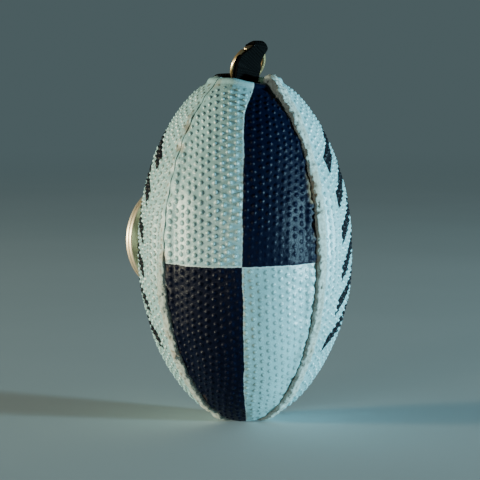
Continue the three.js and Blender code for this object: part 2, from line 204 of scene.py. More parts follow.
def make_mesh(name, points, quads, material):
    """A smooth mesh from points in mm. A quad that repeats a corner becomes a triangle."""
    mesh = bpy.data.meshes.new(name)
    points = np.reshape(points, (-1, 3)) * MM
    faces = [[v for i, v in enumerate(quad) if v != quad[i - 1]] for quad in quads.tolist()]
    mesh.from_pydata(points.tolist(), [], faces)
    mesh.validate()
    mesh.polygons.foreach_set("use_smooth", np.ones(len(mesh.polygons), bool))
    mesh.materials.append(material)
    piece = bpy.data.objects.new(name, mesh)
    bpy.context.scene.collection.objects.link(piece)
    return piece


def attribute(piece, name, values):
    layer = piece.data.attributes.new(name, "FLOAT", "POINT")
    layer.data.foreach_set("value", np.asarray(values, np.float32).ravel())


def grid_quads(rows, columns, wrap_rows=False, wrap_columns=False):
    r = np.arange(rows if wrap_rows else rows - 1)
    c = np.arange(columns if wrap_columns else columns - 1)
    r, c = np.meshgrid(r, c, indexing="ij")
    r2, c2 = (r + 1) % rows, (c + 1) % columns
    quads = np.stack([r * columns + c, r * columns + c2, r2 * columns + c2, r2 * columns + c], -1)
    return quads.reshape(-1, 4)


def resampled(line, step):
    """Points along a smooth curve through the line's points, evenly spaced."""
    line = np.asarray(line, float)
    n = len(line)
    padded = np.concatenate([2 * line[:1] - line[1:2], line, 2 * line[-1:] - line[-2:-1]])
    found = []
    for i in range(n - 1):
        p0, p1, p2, p3 = padded[i : i + 4]
        t = np.linspace(0, 1, 24, endpoint=False)[:, None]
        a = 2 * p1
        b = p2 - p0
        c = 2 * p0 - 5 * p1 + 4 * p2 - p3
        d = 3 * p1 - p0 - 3 * p2 + p3
        found.append(0.5 * (a + b * t + c * t * t + d * t * t * t))
    found = np.concatenate(found + [line[-1:]])
    along = running_length(found)
    count = max(3, int(along[-1] / step) + 1)
    even = np.linspace(0, along[-1], count)
    return np.stack([np.interp(even, along, found[:, i]) for i in range(3)], 1)


def sweep(name, line, side, section, material):
    """A section carried along a line, with a cap at each end and the distance along it as run_mm.
    side is the section's first direction at each point. section(i, share, length) gives the
    section at point i, a share of the points and a length along the line, as (along side,
    along the other direction)."""
    line = np.asarray(line, float)
    n = len(line)
    run = unit(np.gradient(line, axis=0))
    side = np.broadcast_to(np.asarray(side, float), line.shape)
    side = unit(side - (side * run).sum(1)[:, None] * run)
    up = np.cross(run, side)
    along = running_length(line)
    rings = []
    for i in range(n):
        flat = section(i, i / (n - 1), along[i])
        rings.append(line[i] + flat[:, :1] * side[i] + flat[:, 1:] * up[i])
    k = len(rings[0])
    points = np.concatenate([*rings, [rings[0].mean(0), rings[-1].mean(0)]])
    c = np.arange(k)
    d = (c + 1) % k
    first, last = np.full(k, n * k), np.full(k, n * k + 1)
    low = np.stack([first, c, d, d], 1)
    high = np.stack([(n - 1) * k + c, (n - 1) * k + d, last, last], 1)
    quads = np.concatenate([grid_quads(n, k, wrap_columns=True), low, high])
    piece = make_mesh(name, points, quads, material)
    attribute(piece, "run_mm", np.concatenate([np.repeat(along, k), along[-1:], along[-1:]]))
    return piece


def rounded_rectangle(half_width, half_height, radius, per_corner=4, crown=0.0):
    """A flat section's points, with its long faces crowned."""
    radius = min(radius, half_width * 0.98, half_height * 0.98)
    found = []
    for sx, sy, start in ((1, 1, 0), (-1, 1, 90), (-1, -1, 180), (1, -1, 270)):
        for i in range(per_corner + 1):
            a = math.radians(start + 90 * i / per_corner)
            found.append((
                sx * (half_width - radius) + radius * math.cos(a),
                sy * (half_height - radius) + radius * math.sin(a),
            ))
        if sx == sy and half_width > 3 * radius:
            for share in (0.6, 0.2, -0.2, -0.6):
                x = share * sx * (half_width - radius)
                found.append((x, sy * (half_height + crown * (1 - share * share))))
    return np.array(found)


def stands_for(piece, body, slot, *nodes):
    """The piece rides on a body and replaces CAD nodes, which it hides. slot is not used."""
    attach(piece, body)
    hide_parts(*nodes)


def face_outwards(piece):
    mesh = bmesh.new()
    mesh.from_mesh(piece.data)
    bmesh.ops.recalc_face_normals(mesh, faces=mesh.faces)
    mesh.to_mesh(piece.data)
    mesh.free()


# ---- materials


def put(tree, socket, value):
    """Links a socket, or sets a number, vector or colour on it."""
    if isinstance(value, bpy.types.NodeSocket):
        tree.links.new(value, socket)
    elif socket.type == "RGBA":
        socket.default_value = (*value, 1)
    else:
        socket.default_value = value


def add_node(tree, kind, inputs, **settings):
    node = tree.nodes.new(f"ShaderNode{kind}")
    for name, value in settings.items():
        setattr(node, name, value)
    for socket, value in inputs.items():
        put(tree, node.inputs[socket], value)
    return node.outputs


class Surface:
    """A node material, built one socket at a time."""

    def __init__(self, name):
        self.material = bpy.data.materials.new(name)
        self.material.use_nodes = True
        self.tree = self.material.node_tree
        self.tree.nodes.clear()
        self.output = self.tree.nodes.new("ShaderNodeOutputMaterial")
        self.shader = self.tree.nodes.new("ShaderNodeBsdfPrincipled")
        self.tree.links.new(self.shader.outputs[0], self.output.inputs[0])
        self.place = self.node("TexCoord", {})["Object"]

    def node(self, kind, inputs, **settings):
        return add_node(self.tree, kind, inputs, **settings)

    def set(self, **values):
        for name, value in values.items():
            put(self.tree, self.shader.inputs[name.replace("_", " ")], value)

    def math(self, operation, a, b=0.0, c=0.0, clamp=False):
        return self.node("Math", {0: a, 1: b, 2: c}, operation=operation, use_clamp=clamp)[0]

    def times(self, a, b):
        return self.math("MULTIPLY", a, b)

    def plus(self, a, b):
        return self.math("ADD", a, b)

    def minus(self, a, b):
        return self.math("SUBTRACT", a, b)

    def size(self, a):
        return self.math("ABSOLUTE", a)

    def attribute(self, name):
        return self.node("Attribute", {}, attribute_name=name)["Fac"]

    def noise(self, scale, detail=3.0, roughness=0.5, vector=None):
        inputs = {"Scale": scale, "Detail": detail, "Roughness": roughness}
        return self.node("TexNoise", {"Vector": vector or self.place, **inputs})["Fac"]

    def voronoi(self, scale):
        return self.node("TexVoronoi", {"Vector": self.place, "Scale": scale})["Distance"]

    def band(self, value, low, high, to_low=0.0, to_high=1.0):
        """A smooth step from to_low to to_high, as the value goes from low to high."""
        ends = {"From Min": low, "From Max": high, "To Min": to_low, "To Max": to_high}
        inputs = {"Value": value, **ends}
        return self.node("MapRange", inputs, interpolation_type="SMOOTHSTEP")["Result"]

    def mix(self, share, a, b):
        return self.node("Mix", {0: share, 6: a, 7: b}, data_type="RGBA")[2]

    def mix_value(self, share, a, b):
        return self.node("Mix", {0: share, 2: a, 3: b}, data_type="FLOAT")[0]

    def bump(self, height, distance, strength, below=None):
        inputs = {"Strength": strength, "Distance": distance, "Height": height}
        if below is not None:
            inputs["Normal"] = below
        return self.node("Bump", inputs)[0]


WHITE = (0.34, 0.59, 0.61)
WHITE_GREY_AND_DOT_SHADE = (0.17, 0.32, 0.33)  # in patches, and as painted shade on the ground between the dots
WHITE_WARM = (0.45, 0.52, 0.43)
WHITE_LINE = (0.62, 0.74, 0.73)  # unprinted, where the quarters meet
DOT_FOOT_SHADE_CLEAN = (0.10, 0.19, 0.19)  # painted shade round the dots' feet, where there is little wear
# painted shade and brown grime round the dots' feet, where there is wear
DOT_FOOT_SHADE_AND_GRIME = (0.13, 0.135, 0.09)
NAVY = (0.0014, 0.0030, 0.014)
NAVY_WORN = (0.006, 0.010, 0.030)
BLACK_PRINT = (0.006, 0.007, 0.010)
GLUE = (0.34, 0.23, 0.13)
GRIME = (0.05, 0.05, 0.045)
FUZZ = (0.50, 0.54, 0.47)
FUZZ_SHADE = (0.29, 0.27, 0.21)

PRINT_SHARPNESS = 6.0  # of the quarters' edges
CHEVRON_PITCH = 8.4  # mm up the column
CHEVRON_SLOPE = 0.75
CHEVRON_HALF_WIDTH = 9.8
CHEVRON_HALF_COLUMN = 24.9  # six chevrons, and half the gap above and below them


def skin_surface(name, printed):
    """Coated synthetic leather. printed is quarters, for white and navy, or marks, for a column
    of plain chevrons down the middle."""
    s = Surface(name)
    across, height = s.attribute("across_mm"), s.attribute("height_mm")
    seam, dot = s.attribute("seam_mm"), s.attribute("dot")
    wander = s.times(s.minus(s.noise(70, 2), 0.5), 1.6)
    ragged = s.times(s.minus(s.noise(900, 2), 0.5), 0.35)
    shift = s.plus(wander, ragged)
    bend = s.times(s.band(height, *BEND_HEIGHTS), -QUARTERS_BEND)
    over = s.minus(across, QUARTERS_ACROSS)
    over = s.plus(over, s.plus(shift, bend))
    up = s.plus(height, shift)
    if printed == "quarters":
        ink = NAVY
        right = s.math("MULTIPLY_ADD", over, PRINT_SHARPNESS, 0.5, clamp=True)
        above = s.math("MULTIPLY_ADD", up, PRINT_SHARPNESS, 0.5, clamp=True)
        left, below = s.minus(1.0, right), s.minus(1.0, above)
        upper, lower = s.times(right, above), s.times(left, below)
        dark = s.math("ADD", upper, lower, clamp=True)
    else:
        ink = BLACK_PRINT
        aside = s.size(across)
        run = s.plus(s.plus(height, s.times(aside, CHEVRON_SLOPE)), shift)
        wave = s.math("FRACT", s.math("DIVIDE", run, CHEVRON_PITCH))
        off_stroke = s.size(s.minus(wave, 0.5))
        off_middle = s.size(s.minus(run, CHEVRON_PITCH))
        within = s.times(
            s.band(aside, CHEVRON_HALF_WIDTH, CHEVRON_HALF_WIDTH + 0.2, 1.0, 0.0),
            s.band(off_middle, CHEVRON_HALF_COLUMN, CHEVRON_HALF_COLUMN + 0.2, 1.0, 0.0),
        )
        dark = s.times(s.band(off_stroke, 0.235, 0.255, 1.0, 0.0), within)

    wear = s.attribute("wear")
    blotch = s.band(s.noise(55, 4, 0.6), 0.35, 0.7)
    fine = s.band(s.noise(420, 3, 0.6), 0.4, 0.75)
    white = s.mix(s.times(blotch, 0.45), WHITE, WHITE_GREY_AND_DOT_SHADE)
    white = s.mix(s.times(fine, 0.16), white, WHITE_WARM)
    # Painted shade: the ground between the dots is greyed, as if shaded by them, and more so where
    # the wear is higher.
    between = s.band(dot, 0.0, 0.5, 1.0, 0.0)
    shade_between_dots = s.times(between, s.math("MULTIPLY_ADD", wear, 0.15, 0.25))
    white = s.mix(shade_between_dots, white, WHITE_GREY_AND_DOT_SHADE)
    # A ring of painted shade round each dot's foot, which turns to brown grime where the wear is
    # high.
    foot = s.times(s.band(dot, 0.0, 0.12), s.band(dot, 0.2, 0.55, 1.0, 0.0))
    foot_shade_and_grime = s.times(foot, s.math("MULTIPLY_ADD", wear, 0.35, 0.55))
    white = s.mix(foot_shade_and_grime, white, s.mix(wear, DOT_FOOT_SHADE_CLEAN, DOT_FOOT_SHADE_AND_GRIME))
    if printed == "quarters":
        off_line = s.math("MINIMUM", s.size(over), s.size(up))
        line = s.band(off_line, 0.12, 0.38, 1.0, 0.0)
        white = s.mix(s.times(line, 0.6), white, WHITE_LINE)

    scuff = s.times(s.band(s.noise(130, 5, 0.65), 0.52, 0.8), s.band(dot, 0.3, 0.9))
    inked = s.mix(s.times(scuff, 0.55), ink, NAVY_WORN)
    colour = s.mix(dark, white, inked)

    fuzz = s.times(s.band(seam, 1.6, 3.6, 1.0, 0.0), s.attribute("rim"))
    tuft = s.mix(s.band(s.noise(1100, 4, 0.7), 0.35, 0.65), FUZZ_SHADE, FUZZ)
    colour = s.mix(s.times(fuzz, 0.75), colour, tuft)
    smear = s.band(s.noise(150, 3, 0.6), 0.56, 0.66)
    stain = s.times(s.band(seam, 0.3, 2.2, 1.0, 0.0), smear)
    colour = s.mix(s.times(stain, 0.6), colour, GLUE)
    grime = s.times(s.band(seam, 0.0, 0.3, 1.0, 0.0), 0.25)
    colour = s.mix(grime, colour, GRIME)

    rough = s.math("MULTIPLY_ADD", s.noise(260, 4, 0.6), 0.22, 0.26)
    rough = s.plus(rough, s.times(fuzz, 0.4))
    rough = s.plus(rough, s.times(dark, 0.03))
    grain = s.plus(s.times(s.voronoi(2600), 0.7), s.noise(5200, 2))
    normal = s.bump(grain, 0.00006, 0.6)
    normal = s.bump(s.noise(1500, 3, 0.6), 0.00012, 0.5, normal)
    s.set(
        Base_Color=colour,
        Roughness=rough,
        Normal=normal,
        Specular_IOR_Level=s.mix_value(dark, 0.8, 0.10),
    )
    return s.material


# Lit and shaded copies of the webbing's black: painted light on the weave's crests, painted shade
# in its hollows.
WEBBING_SHADED = (0.0008, 0.0008, 0.0008)
WEBBING_LIT = (0.0075, 0.0072, 0.0070)
DUST = (0.02, 0.018, 0.016)
RIB_PITCH = 0.62
WARP_PITCH = 0.5
THREAD_PLY_PITCH = 0.45
BAND_GOLD = ((1.0, 0.86, 0.60), (0.92, 0.76, 0.54), (0.50, 0.33, 0.19))  # bright, dull, tarnished
WIRE_GOLD = ((1.0, 0.76, 0.40), (0.88, 0.60, 0.28), (0.55, 0.33, 0.15))


def webbing_surface(name):
    """Black woven polyester: ribs across the band, with the weave's small over-and-under."""
    s = Surface(name)
    run, wide = s.attribute("run_mm"), s.attribute("wide_mm")
    rib = s.math("SINE", s.times(run, 2 * math.pi / RIB_PITCH))
    warp = s.math("SINE", s.times(wide, 2 * math.pi / WARP_PITCH))
    weave = s.times(rib, warp)
    height = s.plus(s.times(rib, 0.5), s.times(weave, 0.6))
    normal = s.bump(height, 0.00009, 0.9)
    normal = s.bump(s.noise(3800, 3, 0.7), 0.00008, 0.5, normal)
    # Painted light and shade: the weave's crests are coloured lighter and its hollows darker.
    high = s.band(height, 0.1, 1.0)
    colour = s.mix(s.times(high, 0.7), WEBBING_SHADED, WEBBING_LIT)
    dusty = s.band(s.noise(600, 4, 0.7), 0.6, 0.8)
    colour = s.mix(s.times(dusty, 0.2), colour, DUST)
    s.set(Base_Color=colour, Roughness=0.75, Normal=normal, Specular_IOR_Level=0.04)
    return s.material


def thread_surface(name, light, dark):
    """Twisted thread, with painted shade in the furrows between its plies."""
    s = Surface(name)
    ply = s.math("SINE", s.times(s.attribute("run_mm"), 2 * math.pi / THREAD_PLY_PITCH))
    fibre = s.noise(4200, 3, 0.7)
    colour = s.mix(s.band(fibre, 0.35, 0.7), light, dark)
    # Painted shade in the furrows between the plies.
    colour = s.mix(s.times(s.band(ply, -1.0, -0.4, 1.0, 0.0), 0.5), colour, dark)
    s.set(Base_Color=colour, Roughness=0.7, Normal=s.bump(fibre, 0.00006, 0.6), Sheen_Weight=0.2)
    return s.material


def gold_surface(name, colours, metallic, roughness, brushed):
    """Gold plate with fine scratches and brown tarnish in patches. Brushed scratches run along
    the strip; the others run anyhow."""
    s = Surface(name)
    bright, dull, tarnished = colours
    if brushed:
        wide, run = s.times(s.attribute("wide_mm"), 5.0), s.times(s.attribute("run_mm"), 0.05)
        streak = s.noise(1.6, 4, 0.7, s.node("CombineXYZ", {0: wide, 1: run})[0])
    else:
        place = s.node("VectorMath", {0: s.place, 1: (300, 300, 300)}, operation="MULTIPLY")[0]
        streak = s.noise(1.0, 3, 0.7, place)
    tarnish = s.band(s.noise(160, 4, 0.65), 0.45, 0.75)
    colour = s.mix(s.band(streak, 0.35, 0.65), bright, dull)
    colour = s.mix(s.times(tarnish, 0.55), colour, tarnished)
    rough = s.math("MULTIPLY_ADD", streak, 0.18, roughness)
    rough = s.plus(rough, s.times(tarnish, 0.10))
    normal = s.bump(streak, 0.00003, 0.5)
    s.set(Base_Color=colour, Metallic=metallic, Roughness=rough, Normal=normal)
    return s.material


def cloth_surface(name, light, dark, scale=1.0):
    """Plain woven cotton or loose fibre."""
    s = Surface(name)
    threads = s.plus(s.noise(900 * scale, 3, 0.7), s.noise(2600 * scale, 2, 0.6))
    colour = s.mix(s.band(threads, 0.7, 1.3), dark, light)
    colour = s.mix(s.times(s.band(s.noise(90, 3), 0.4, 0.8), 0.4), colour, dark)
    s.set(Base_Color=colour, Roughness=0.95, Normal=s.bump(threads, 0.0002, 0.7), Sheen_Weight=0.3)
    return s.material


quartered_skin = skin_surface("quartered_skin", "quarters")
marked_skin = skin_surface("marked_skin", "marks")
webbing = webbing_surface("webbing")
seam_thread = thread_surface("seam_thread", (0.50, 0.52, 0.47), (0.16, 0.16, 0.14))
black_thread = thread_surface("black_thread", (0.014, 0.014, 0.015), (0.004, 0.004, 0.004))
gold_wire = gold_surface("gold_wire", WIRE_GOLD, 0.95, 0.20, brushed=False)
gold_band = gold_surface("gold_band", BAND_GOLD, 0.88, 0.34, brushed=True)
lining_cloth = cloth_surface("lining_cloth", (0.62, 0.59, 0.52), (0.38, 0.35, 0.29))
fibre = cloth_surface("fibre", (0.85, 0.85, 0.82), (0.6, 0.6, 0.57), 0.5)

# ---- the stuffed skin, simulated

SIM_AROUND = 96
SIM_ALONG = 76
SIM_SCALE = 0.02  # simulated metres to a millimetre
SIM_FRAMES = 20
SIM_CAP = 0.42  # mm that the stuffing may move the skin, either way
CLOTH_SETTINGS = {
    "quality": 8, "mass": 0.3, "tension_stiffness": 40, "compression_stiffness": 40,
    "shear_stiffness": 15, "bending_stiffness": 0.4, "vertex_group_mass": "pinned",
    "use_pressure": True, "uniform_pressure_force": 4.0,
}
PINNED_FOOT, PINNED_LIP = 2, 8  # rows at the ends
PINNED_STITCH = 0.16  # of the stitches' pitch, to each side of a stitch
VALLEY_DEPTH, VALLEY_WIDTH = 1.3, 2.2  # of the seams, where the simulation starts


def blown_up(start, pinned):
    """A skin's points, in mm, after it is filled with pressure in a cloth simulation."""
    sheet = make_mesh(
        "sim_skin", start * SIM_SCALE / MM,
        grid_quads(SIM_ALONG, SIM_AROUND, wrap_columns=True), lining_cloth,
    )
    sheet.vertex_groups.new(name="pinned").add(pinned, 1.0, "REPLACE")
    cloth = sheet.modifiers.new("Cloth", "CLOTH")
    cloth.collision_settings.use_collision = False
    cloth.settings.effector_weights.gravity = 0
    for setting, value in CLOTH_SETTINGS.items():
        setattr(cloth.settings, setting, value)
    scene = bpy.context.scene
    for frame_number in range(1, SIM_FRAMES + 1):
        scene.frame_set(frame_number)
    shown = sheet.evaluated_get(bpy.context.evaluated_depsgraph_get())
    moved = np.zeros(start.size, np.float32)
    shown.data.vertices.foreach_get("co", moved)
    scene.frame_set(1)
    mesh = sheet.data
    bpy.data.objects.remove(sheet)
    bpy.data.meshes.remove(mesh)
    return moved.reshape(start.shape).astype(float) / SIM_SCALE


def stuffed_offsets():
    """How far the stuffing pushes the skin out between the stitches, in mm, on a grid up and
    round the ball, with the grid's distances along the outline. The seams are pinned at each
    stitch, and the skin is blown up from inside."""
    line, out, along = ball_outline(SIM_ALONG, tip_radius=4.0)
    theta = full_turn(SIM_AROUND)
    off = theta % (2 * EDGE)
    distance = line[:, :1] * np.minimum(off, 2 * EDGE - off)[None]
    shrink = np.minimum(1, line[:, :1] / FULL_SIZE_RADIUS)
    valley = VALLEY_DEPTH * np.exp(-((distance / VALLEY_WIDTH) ** 2)) * shrink
    radius = line[:, :1] - valley * out[:, :1]
    height = line[:, 1:] - valley * out[:, 1:]
    start = turned(radius, theta, height)

    row, column = np.arange(SIM_ALONG), np.arange(SIM_AROUND)
    phase = (along / STITCH_PITCH) % 1
    at_end = (row < PINNED_FOOT) | (row > SIM_ALONG - PINNED_LIP)
    at_stitch = np.minimum(phase, 1 - phase) < PINNED_STITCH
    at_seam = column % (SIM_AROUND // 4) == 0
    pinned = np.flatnonzero(at_end[:, None] | (at_stitch[:, None] & at_seam[None]))

    moved = blown_up(start, pinned.tolist())
    level = np.broadcast_to(out[:, 1:], (SIM_ALONG, SIM_AROUND))
    direction = turned(out[:, :1], theta, level)
    push = ((moved - start) * direction).sum(-1)
    body = push[PINNED_FOOT + 1 : -PINNED_LIP - 1]
    typical = np.median(body)
    largest = np.percentile(np.abs(body - typical), 98)
    push = (push - typical) / max(largest, 1e-6)
    ends = smoothstep(0, 4, row) * smoothstep(0, 6, SIM_ALONG - PINNED_LIP - row)
    return along, np.clip(push, -1, 1) * SIM_CAP * ends[:, None]


SIM_ALONG_MM, SIM_PUSH = stuffed_offsets()


def stuffed(angle, along):
    """The push at angles round the ball and distances along its outline."""
    column = (angle / (2 * math.pi) * SIM_AROUND) % SIM_AROUND
    row = np.interp(along, SIM_ALONG_MM, np.arange(SIM_ALONG))
    c0 = np.floor(column).astype(int) % SIM_AROUND
    r0 = np.clip(np.floor(row).astype(int), 0, SIM_ALONG - 2)
    fc, fr = eased(column - np.floor(column)), eased(row - r0)
    c1 = (c0 + 1) % SIM_AROUND
    low = SIM_PUSH[r0, c0] * (1 - fc) + SIM_PUSH[r0, c1] * fc
    high = SIM_PUSH[r0 + 1, c0] * (1 - fc) + SIM_PUSH[r0 + 1, c1] * fc
    return low * (1 - fr) + high * fr


# ---- panels


def grip_dots(across, along, seed):
    """Height of the raised dots, from 0 to 1, on a staggered and slightly uneven lattice."""
    sway_x = DOT_WARP * value_noise(across / 11.0 + seed, along / 13.0, seed + 19)
    sway_y = DOT_WARP * value_noise(across / 12.0, along / 10.0 + seed, seed + 23)
    across, along = across + sway_x, along + sway_y
    column = np.round(across / DOT_COLUMN)
    best = np.zeros_like(across)
    for dc in (-1, 0, 1):
        c = column + dc
        stagger = np.where(c % 2 == 0, 0.0, 0.5)
        row = np.round(along / DOT_PITCH - stagger)
        for dr in (-1, 0, 1):
            r = row + dr
            x = (c + 0.22 * (hashed(r, c, seed) - 0.5)) * DOT_COLUMN
            y = (r + stagger + 0.20 * (hashed(r, c, seed + 7) - 0.5)) * DOT_PITCH
            size = DOT_RADIUS * (0.88 + 0.2 * hashed(r, c, seed + 13))
            away = np.sqrt((across - x) ** 2 + (along - y) ** 2) / size
            best = np.maximum(best, 1 - smoothstep(0.3, 1.0, away))
    return best


def pucker(along, distance, seed):
    """How much deeper the seam's edge lies at each stitch, and the creases that run off it."""
    wave = np.cos(2 * math.pi * along / STITCH_PITCH)
    near = np.exp(-np.maximum(distance, 0) / 2.6)
    crease = value_noise(along / 1.5, distance / 5.0, seed) * np.exp(-np.maximum(distance, 0) / 4.5)
    uneven = 0.6 + 0.6 * value_noise(along / 9.0, seed, seed + 2)
    return 0.14 * wave * near * uneven + 0.20 * crease


def edge_section():
    """The turned-in edge and its roll at full size, from the hem up: distance from the seam's
    plane, and depth below the crown."""
    turned_in = HEM_DEPTH - HEM_TOP
    hem = [(SEAM_GAP, HEM_DEPTH - turned_in * i / COLUMNS_HEM) for i in range(COLUMNS_HEM)]
    roll = []
    for i in range(COLUMNS_ROLL):
        a = math.radians(180 - 90 * i / COLUMNS_ROLL)
        roll.append((
            SEAM_GAP + ROLL_RADIUS + ROLL_RADIUS * math.cos(a),
            SHOULDER_DROP + ROLL_RADIUS - ROLL_RADIUS * math.sin(a),
        ))
    return np.array(hem + roll)


def panel_columns(radius, out, along, drops, rolls):
    """A panel's points from seam to seam, a row for each point of the outline: their angles from
    the panel's middle, depths below the crown, and distances from the edge's roll."""
    shrink = np.minimum(1, radius / FULL_SIZE_RADIUS)
    upper = smoothstep(-6, 6, along[:, None])
    drops = [low + (high - low) * upper for low, high in drops]
    rolls = [low + (high - low) * upper for low, high in rolls]
    starts = [SEAM_GAP + ROLL_RADIUS * size for size in rolls]
    blocks = []
    for side, drop, size in zip((-1, 1), drops, rolls):
        block = []
        for distance, depth in edge_section():
            reach = SEAM_GAP + (distance - SEAM_GAP) * size
            fall = drop + (depth - SHOULDER_DROP) * (size if depth < HEM_TOP else 1.0)
            from_plane = np.where(distance > SEAM_GAP, reach * shrink, SEAM_GAP)
            gap = np.arcsin(np.minimum(from_plane / (radius - out[:, :1] * fall * shrink), 0.7))
            beyond = reach - SEAM_GAP - ROLL_RADIUS * size
            block.append((side * (EDGE - gap), fall * shrink, beyond))
        block = block[::-1] if side == 1 else block
        blocks.append([np.concatenate(parts, 1) for parts in zip(*block)])
    edges = [
        EDGE - np.arcsin(np.minimum(start * shrink / radius, math.sqrt(0.5))) for start in starts
    ]
    share = np.linspace(-1, 1, COLUMNS_CROWN)[None]
    angle = np.where(share < 0, *edges) * share
    distance = radius * (EDGE - np.abs(angle))
    beyond = np.maximum(distance - np.where(angle < 0, *starts) * shrink, 0)
    dip = np.where(angle < 0, *drops) * shrink * np.exp(-beyond / 1.5)
    left, right = blocks
    crown = (angle, dip, distance)
    angle, depth, distance = (np.concatenate(parts, 1) for parts in zip(left, crown, right))
    return angle, depth, np.maximum(distance, 0)


def dots_on(panel, across, along, distance, rim, radius, height):
    """The panel's dots, which fade out at its edges, its lip and the quarters' lines."""
    seed = panel["seed"]
    dot = grip_dots(across + 0.4 * seed, along + 0.3 * seed, seed)
    fade = smoothstep(0.5, 1.4, distance) * smoothstep(4.0, 7.0, radius)
    fade = fade * (1 - 0.8 * rim * smoothstep(3.8, 2.6, distance))
    if panel["quartered"]:
        up = along - QUARTERS_HEIGHT
        over = across - (QUARTERS_ACROSS + QUARTERS_BEND * smoothstep(*BEND_HEIGHTS, up))
        fade = fade * smoothstep(0.15, 0.5, np.minimum(np.abs(over), np.abs(up)))
        lower_right = smoothstep(-6, 6, across) * smoothstep(13, 3, along)
        fade = fade * (1 - 0.58 * lower_right)
        fade = fade * np.where(over * up > 0, 0.82, 1.0)
    return dot * fade * smoothstep(79.3, 77.0, height)


def make_panel(panel):
    """One panel of the skin, with all its relief: stuffing, puckers, dots and fuzzy rims."""
    line, out, along = ball_outline(ROWS)
    radius, height = line[:, :1], line[:, 1:]
    angle, depth, distance = panel_columns(radius, out, along, panel["drops"], panel["rolls"])
    across = radius * angle
    along = np.broadcast_to(along[:, None], angle.shape)
    seed, middle = panel["seed"], math.radians(panel["middle"])

    rim = np.where(angle < 0, *panel["rims"])
    if panel["name"] == FULLER_BELOW:
        rim = np.where(angle > 0, rim * (0.1 + 0.9 * smoothstep(4, -8, along)), rim)
    tufts = 0.9 * value_noise(across / 0.62, along / 0.8, seed + 9)
    tufts = tufts + 0.6 * value_noise(across / 0.33, along / 0.36, seed + 11)
    tufts = tufts + 1.0 * value_noise(across / 1.7, along / 1.5, seed + 15)
    proud = 0.85 * rim * smoothstep(3.6, 1.4, distance)
    nubs = 0.21 * rim * tufts * smoothstep(3.8, 1.6, distance)
    lean = (0.46 + 0.34 * tufts) * rim * smoothstep(2.2, 0.2, distance)
    lean = lean * smoothstep(1.7, 1.0, depth) * smoothstep(79.0, 76.5, height)

    lump = 0.16 * value_noise(across / 7.0 + seed, along / 8.0, seed + 3)
    wrinkle = 0.05 * value_noise(across / 1.9, along / 2.6, seed + 5)
    lifted = stuffed(angle + middle, along) + pucker(along, distance, seed)
    lifted = lifted + (lump + wrinkle) * smoothstep(0.0, 1.0, distance)
    dot = dots_on(panel, across, along, distance, rim, radius, height)
    ends = smoothstep(3.0, 9.0, radius)
    lifted = (lifted + proud + nubs) * ends + DOT_HEIGHT * dot
    depth = depth - lifted * np.where(depth > HEM_TOP, 0.4, 1.0)

    r = radius - out[:, :1] * depth
    z = height - out[:, 1:] * depth
    z = z - panel["sag"] * smoothstep(-4, 4, across) * smoothstep(66, 79, height)
    turn = angle + middle + np.sign(angle) * lean * ends / np.maximum(radius, 2.0)
    points = turned(r, turn, np.maximum(z, 0.0))
    skin = make_mesh(f"{panel['name']}_skin", points, grid_quads(*angle.shape), panel["material"])
    low_wear, high_wear = panel["wear"]
    wear = low_wear + (high_wear - low_wear) * smoothstep(-EDGE, EDGE, angle)
    relief = {"across_mm": across, "height_mm": along - QUARTERS_HEIGHT, "seam_mm": distance}
    for name, values in {**relief, "dot": dot, "rim": rim, "wear": wear}.items():
        attribute(skin, name, values)
    return skin


# Pairs are for a panel's left and right edge. rims is how raw and fuzzy the edge is. drops is how
# deep the edge lies, in mm, and rolls the size of its roll, both for the lower and the upper
# half. sag is how far the upper right corner hangs, in mm.
PANELS = (
    {
        "name": "front", "middle": 225, "material": quartered_skin, "slot": "quartered_skin",
        "quartered": True, "seed": 1.0, "wear": (0.6, 0.1), "sag": 1.3,
        "rims": (0.0, 0.0),
        "drops": ((0.2, 0.03), (0.3, 0.25)), "rolls": ((0.7, 0.12), (0.6, 0.6)),
    },
    {
        "name": "right", "middle": 315, "material": marked_skin, "slot": "white_skin",
        "quartered": False, "seed": 2.0, "wear": (0.1, 0.1), "sag": 0.0,
        "rims": (1.0, 0.3),
        "drops": ((0.12, 0.12), (0.35, 0.35)), "rolls": ((0.9, 0.9), (0.9, 0.9)),
    },
    {
        "name": "back", "middle": 45, "material": quartered_skin, "slot": "quartered_skin",
        "quartered": True, "seed": 3.0, "wear": (0.3, 0.5), "sag": 0.0,
        "rims": (0.1, 0.0),
        "drops": ((0.35, 0.35), (0.35, 0.35)), "rolls": ((0.9, 0.9), (0.9, 0.9)),
    },
    {
        "name": "left", "middle": 135, "material": marked_skin, "slot": "white_skin",
        "quartered": False, "seed": 4.0, "wear": (0.5, 1.0), "sag": 0.0,
        "rims": (0.6, 0.9),
        "drops": ((0.3, 0.3), (0.12, 0.03)), "rolls": ((0.9, 0.9), (0.8, 0.12)),
    },
)

for panel in PANELS:
    skin = make_panel(panel)
    stands_for(skin, "ball", panel["slot"], f"{panel['name']}_panel")

# ---- seam threads

SEAMS = (("front_right", 270), ("back_right", 0), ("back_left", 90), ("front_left", 180))
THREAD_RADIUS = 0.24
THREAD_DEPTH = 1.7  # below the crown, between the stitches
THREAD_RISE = 1.25
THREAD_ROWS, THREAD_LAST = 700, 640  # the last rows go round the lip
THREAD_HEIGHTS = (3.0, 77.5)


def round_section(radius, sides=8, plies=0, lay=0.9):
    """A thread's section, twisted from plies that turn once in a length of lay."""
    angle = full_turn(sides)

    def section(i, share, length):
        swell = 1 + (0.14 * np.cos(plies * angle - 2 * math.pi * length / lay) if plies else 0)
        return turned(radius * swell, angle)

    return section


